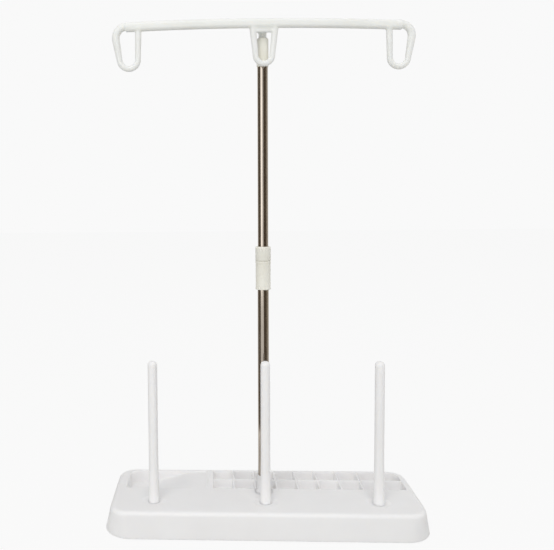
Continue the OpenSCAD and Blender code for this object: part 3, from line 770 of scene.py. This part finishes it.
def makeArm():
    # The field is worked out straight, then turned about the stem as the arm stands at rest
    a = arm
    margin = 1
    reach = a["half"] + a["bendRadius"] + a["eyeThick"]
    low = (-reach, -a["barThick"] / 2 - margin, -a["drop"] - a["sag"] - 2 * margin)
    high = (reach, armFront + a["earWidth"] / 2 + margin, a["barHeight"] / 2 + margin)
    points, faces = netSurface(armDistance, low, high, a["spacing"])
    points[:, 1] -= armFront
    turn = math.radians(a["turn"])
    x = points[:, 0] * math.cos(turn) - points[:, 1] * math.sin(turn)
    y = points[:, 0] * math.sin(turn) + points[:, 1] * math.cos(turn) + poleY
    turned = np.column_stack([x, y, points[:, 2] + armZ])
    makePiece("guide_arm_moulding", "arm", [(turned, faces)], armNylon, ["guide_arm"], sharp=60)


makeTube("lower_tube", "base", pole["lowerWidth"], pole["seat"], pole["lowerTop"])
makeTube("upper_tube", "upper_pole", upperWidth, pole["lowerTop"] - pole["overlap"], pole["upperTop"])
makeSleeve()
makeNut()
makeCap()
makeArm()


# Studio: a white floor and surroundings, tall soft lights at the front left and at the right, a
# wide one high in front, and cards that stand round the object out of the camera's sight, which
# give the steel its dark and grey streaks

studio = {"white": "#f9f9f9", "worldStrength": 0.52, "floorHalf": 5000.0, "floorColour": "#d6d6d4",
          "floorShare": 0.08, "floorGlow": 1.04, "cardRadius": 260.0, "cardHeight": 700.0}
cards = {"front_right": (6, 68, "#84786a"), "right": (68, 118, "#d2cabe"), "left": (-128, -54, "#8c8375")}
lamps = {"key": {"azimuth": -33.0, "distance": 1500.0, "bottom": 0.0, "top": 1000.0, "width": 800.0,
                 "power": 3.0},
         "side": {"azimuth": 96.0, "distance": 1500.0, "bottom": 0.0, "top": 900.0, "width": 700.0,
                  "power": 2.0},
         "above": {"place": (-150.0, -2450.0, 2750.0), "size": (2800.0, 2200.0), "power": 50.0}}


def seenRays(tree):
    # One for camera, mirror and glass rays, and zero for the rays that light the object
    path = addNode(tree, "ShaderNodeLightPath")
    seen = addNode(tree, "ShaderNodeMath", {"operation": "MAXIMUM"},
                   {0: path.outputs["Is Camera Ray"], 1: path.outputs["Is Glossy Ray"]})
    seen = addNode(tree, "ShaderNodeMath", {"operation": "MAXIMUM"},
                   {0: seen.outputs[0], 1: path.outputs["Is Transmission Ray"]})
    return seen.outputs[0]


def makeWorld():
    # What is seen or mirrored is plain white, and what lights the object is about half as strong
    world = bpy.data.worlds.new("studio")
    scene.world = world
    world.use_nodes = True
    tree = world.node_tree
    tree.nodes.clear()
    seen = seenRays(tree)
    lit = addNode(tree, "ShaderNodeBackground",
                  {"Color": linear("#ffffff"), "Strength": studio["worldStrength"]})
    shown = addNode(tree, "ShaderNodeBackground", {"Color": linear(studio["white"]), "Strength": 1.0})
    mix = addNode(tree, "ShaderNodeMixShader", {}, {0: seen, 1: lit.outputs[0], 2: shown.outputs[0]})
    addNode(tree, "ShaderNodeOutputWorld", {}, {"Surface": mix.outputs[0]})


def stagePiece(name, points, faces, material):
    # A piece of the studio, which isn't part of the object
    mesh = bpy.data.meshes.new(name)
    mesh.from_pydata((np.array(points) / 1000).tolist(), [], np.array(faces).tolist())
    mesh.materials.append(material)
    obj = bpy.data.objects.new(name, mesh)
    scene.collection.objects.link(obj)
    return obj


def makeFloor():
    # White paper: what the camera and the steel see of it is mostly the background's own white,
    # and the rest is lit, which keeps the object's shadow
    material, tree = newMaterial("paper_floor")
    share = addNode(tree, "ShaderNodeMath", {"operation": "MULTIPLY", 1: 1 - studio["floorShare"]},
                    {0: seenRays(tree)})
    paper = addNode(tree, "ShaderNodeBsdfDiffuse", {"Color": linear(studio["floorColour"])})
    white = addNode(tree, "ShaderNodeEmission",
                    {"Color": linear(studio["white"]), "Strength": studio["floorGlow"]})
    mix = addNode(tree, "ShaderNodeMixShader", {},
                  {0: share.outputs[0], 1: paper.outputs[0], 2: white.outputs[0]})
    addNode(tree, "ShaderNodeOutputMaterial", {}, {"Surface": mix.outputs[0]})
    h = studio["floorHalf"]
    stagePiece("floor", [(-h, -h, 0), (h, -h, 0), (h, h, 0), (-h, h, 0)], [(0, 1, 2, 3)], material)


def makeCards():
    # Upright strips of a cylinder round the object: an angle is counted from the camera's side,
    # to the right, so a point is radius * (sin angle, -cos angle, height)
    for name, (start, end, colour) in cards.items():
        material, tree = newMaterial("card_" + name)
        paint = addNode(tree, "ShaderNodeBsdfDiffuse", {"Color": linear(colour)})
        addNode(tree, "ShaderNodeOutputMaterial", {}, {"Surface": paint.outputs[0]})
        a = arc(start, end, 12)
        edge = studio["cardRadius"] * np.stack([np.sin(a), -np.cos(a), 0 * a], axis=1)
        points = np.concatenate([edge, edge + np.array([0, 0, studio["cardHeight"]])])
        i = np.arange(len(a) - 1)
        faces = np.stack([i, i + 1, i + 1 + len(a), i + len(a)], axis=1)
        card = stagePiece("card_" + name, points, faces, material)
        card.visible_camera = False
        card.visible_diffuse = False
        card.visible_shadow = False


def addLamp(name, place, target, size, power):
    # A rectangular lamp that faces its target and isn't seen itself
    data = bpy.data.lights.new(name, "AREA")
    data.shape = "RECTANGLE"
    data.size, data.size_y = size[0] / 1000, size[1] / 1000
    data.energy = power
    obj = bpy.data.objects.new(name, data)
    scene.collection.objects.link(obj)
    place = Vector(place) / 1000
    obj.location = place
    obj.rotation_euler = (Vector(target) / 1000 - place).to_track_quat("-Z", "Y").to_euler()
    obj.visible_camera = False


def makeLamps():
    # Upright lamps stand round the object at an angle counted as the cards' is
    for name in ("key", "side"):
        box = lamps[name]
        a = math.radians(box["azimuth"])
        middle = (box["bottom"] + box["top"]) / 2
        place = (box["distance"] * math.sin(a), -box["distance"] * math.cos(a), middle)
        addLamp(name, place, (0, 0, middle), (box["width"], box["top"] - box["bottom"]), box["power"])
    above = lamps["above"]
    addLamp("above", above["place"], (0, 0, 0), above["size"], above["power"])


makeWorld()
makeFloor()
makeCards()
makeLamps()
print("studio ready")
